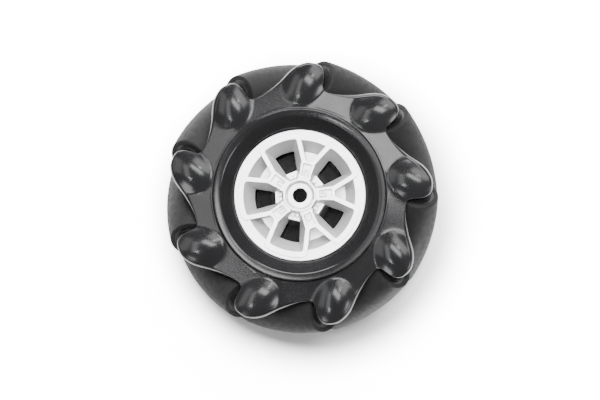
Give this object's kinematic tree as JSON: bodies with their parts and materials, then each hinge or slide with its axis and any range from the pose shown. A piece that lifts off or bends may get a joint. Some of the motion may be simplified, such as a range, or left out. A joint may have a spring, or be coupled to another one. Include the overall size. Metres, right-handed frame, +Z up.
{
  "type": "mecanum wheel",
  "caption": "Omnidirectional robot wheel: free spinning rubber rollers at 45 degrees between two lobed black shells, silver spoked rim, hex drive hub.",
  "frame": {"origin": "centre of the wheel, on its axle, midway between its two faces", "axes": "+Y along the axle towards the motor side, so the decorated front faces -Y; +Z up; the wheel turns about Y"},
  "size_m": [0.0972, 0.0446, 0.0971],
  "materials": {
    "shell": "gloss black",
    "hub": "gloss black",
    "rim": "silver",
    "tread": "matt black",
    "core": "satin black",
    "bush": "black nylon",
    "steel": "turned"
  },
  "bodies": {
    "wheel": {"front_shell": "shell", "rear_shell": "shell", "rim": "rim", "drive_hub": "hub", "shell_screws": "steel", "roller_pin_1": "steel", "roller_washers_1": "bush", "roller_pin_2": "steel", "roller_washers_2": "bush", "roller_pin_3": "steel", "roller_washers_3": "bush", "roller_pin_4": "steel", "roller_washers_4": "bush", "roller_pin_5": "steel", "roller_washers_5": "bush", "roller_pin_6": "steel", "roller_washers_6": "bush", "roller_pin_7": "steel", "roller_washers_7": "bush", "roller_pin_8": "steel", "roller_washers_8": "bush", "roller_pin_9": "steel", "roller_washers_9": "bush"},
    "roller_1": {"roller_tread_1": "tread", "roller_core_1": "core", "roller_bushes_1": "bush"},
    "roller_2": {"roller_tread_2": "tread", "roller_core_2": "core", "roller_bushes_2": "bush"},
    "roller_3": {"roller_tread_3": "tread", "roller_core_3": "core", "roller_bushes_3": "bush"},
    "roller_4": {"roller_tread_4": "tread", "roller_core_4": "core", "roller_bushes_4": "bush"},
    "roller_5": {"roller_tread_5": "tread", "roller_core_5": "core", "roller_bushes_5": "bush"},
    "roller_6": {"roller_tread_6": "tread", "roller_core_6": "core", "roller_bushes_6": "bush"},
    "roller_7": {"roller_tread_7": "tread", "roller_core_7": "core", "roller_bushes_7": "bush"},
    "roller_8": {"roller_tread_8": "tread", "roller_core_8": "core", "roller_bushes_8": "bush"},
    "roller_9": {"roller_tread_9": "tread", "roller_core_9": "core", "roller_bushes_9": "bush"}
  },
  "joints": [
    {"name": "roller_1_spin", "type": "hinge", "parent": "wheel", "child": "roller_1", "pos_m": [0.01819, 0, 0.0345], "axis": [-0.6255, -0.7071, 0.3298], "continuous": true},
    {"name": "roller_2_spin", "type": "hinge", "parent": "wheel", "child": "roller_2", "pos_m": [0.03611, 0, 0.01474], "axis": [-0.2672, -0.7071, 0.6547], "continuous": true},
    {"name": "roller_3_spin", "type": "hinge", "parent": "wheel", "child": "roller_3", "pos_m": [0.03713, 0, -0.01192], "axis": [0.2162, -0.7071, 0.6733], "continuous": true},
    {"name": "roller_4_spin", "type": "hinge", "parent": "wheel", "child": "roller_4", "pos_m": [0.02078, 0, -0.033], "axis": [0.5983, -0.7071, 0.3768], "continuous": true},
    {"name": "roller_5_spin", "type": "hinge", "parent": "wheel", "child": "roller_5", "pos_m": [-0.00529, 0, -0.03864], "axis": [0.7006, -0.7071, -0.096], "continuous": true},
    {"name": "roller_6_spin", "type": "hinge", "parent": "wheel", "child": "roller_6", "pos_m": [-0.02889, 0, -0.0262], "axis": [0.475, -0.7071, -0.5238], "continuous": true},
    {"name": "roller_7_spin", "type": "hinge", "parent": "wheel", "child": "roller_7", "pos_m": [-0.03897, 0, -0.0015], "axis": [0.0271, -0.7071, -0.7066], "continuous": true},
    {"name": "roller_8_spin", "type": "hinge", "parent": "wheel", "child": "roller_8", "pos_m": [-0.03082, 0, 0.0239], "axis": [-0.4334, -0.7071, -0.5587], "continuous": true},
    {"name": "roller_9_spin", "type": "hinge", "parent": "wheel", "child": "roller_9", "pos_m": [-0.00824, 0, 0.03812], "axis": [-0.6911, -0.7071, -0.1494], "continuous": true}
  ]
}
